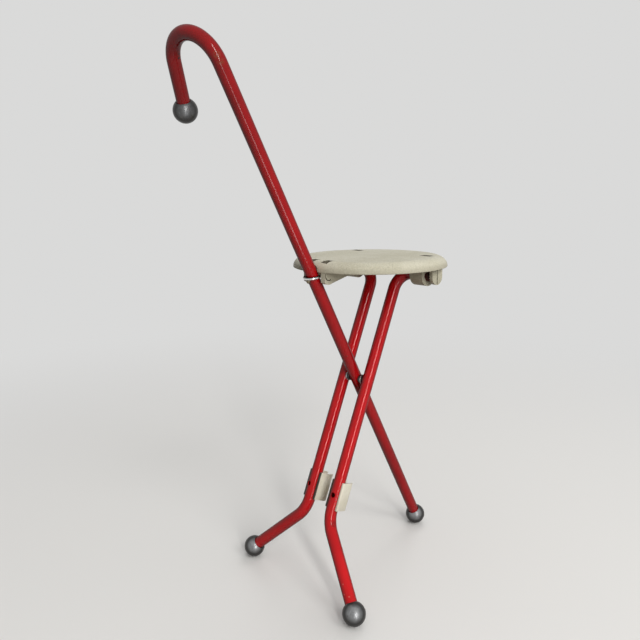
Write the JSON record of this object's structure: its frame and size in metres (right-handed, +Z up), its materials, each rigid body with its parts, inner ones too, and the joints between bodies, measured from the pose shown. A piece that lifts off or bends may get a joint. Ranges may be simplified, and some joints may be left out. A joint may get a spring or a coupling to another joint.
{
  "type": "folding stool",
  "caption": "Folding walking-stick stool: a hooked tubular cane crosses a pair of bent legs under a round moulded seat, and a wire bail slides up the cane as it folds flat.",
  "frame": {"origin": "on the floor, under the middle of the open stool's bounding box", "axes": "+Z up; the cane leans towards -X at the top, its foot stands towards +X, and the crook bends towards +Y"},
  "size_m": [0.4248, 0.2622, 0.7776],
  "materials": {
    "red_enamel": "gloss",
    "grey_ball": "satin metallic grey",
    "seat_moulding": "fine texture",
    "clip_plastic": "satin",
    "zinc_steel": "zinc plated",
    "dark_spacer": "satin",
    "chrome_wire": "bright",
    "dull_rivet": "dull"
  },
  "bodies": {
    "cane": {"cane_tube": "red_enamel", "handle_ball": "grey_ball", "cane_foot_ball": "grey_ball", "bail_stop": "dull_rivet"},
    "legs": {"left_leg": "red_enamel", "right_leg": "red_enamel", "left_foot_ball": "grey_ball", "right_foot_ball": "grey_ball", "pivot_pin": "zinc_steel", "left_spacer": "dark_spacer", "right_spacer": "dark_spacer", "left_washer": "zinc_steel", "right_washer": "zinc_steel", "left_clip": "clip_plastic", "right_clip": "clip_plastic", "left_clip_screw": "zinc_steel", "right_clip_screw": "zinc_steel"},
    "seat": {"seat": "seat_moulding"},
    "bail": {"bail": "chrome_wire"}
  },
  "joints": [
    {"name": "fold", "type": "hinge", "parent": "cane", "child": "legs", "pos_m": [0.04482, 0, 0.30359], "axis": [0, -1, 0], "range_deg": [0, 50.65]},
    {"name": "seat_turn", "type": "hinge", "parent": "legs", "child": "seat", "pos_m": [0.11214, 0, 0.46296], "axis": [0, 1, 0], "range_deg": [0, 112.91]},
    {"name": "bail_swing", "type": "hinge", "parent": "seat", "child": "bail", "pos_m": [-0.03116, 0, 0.47046], "axis": [0, -1, 0], "range_deg": [0, 45.62]}
  ],
  "couplings": [
    {"joint": "seat_turn", "follows": "fold", "ratio": 2.229},
    {"joint": "bail_swing", "follows": "fold", "ratio": 0.90073}
  ]
}
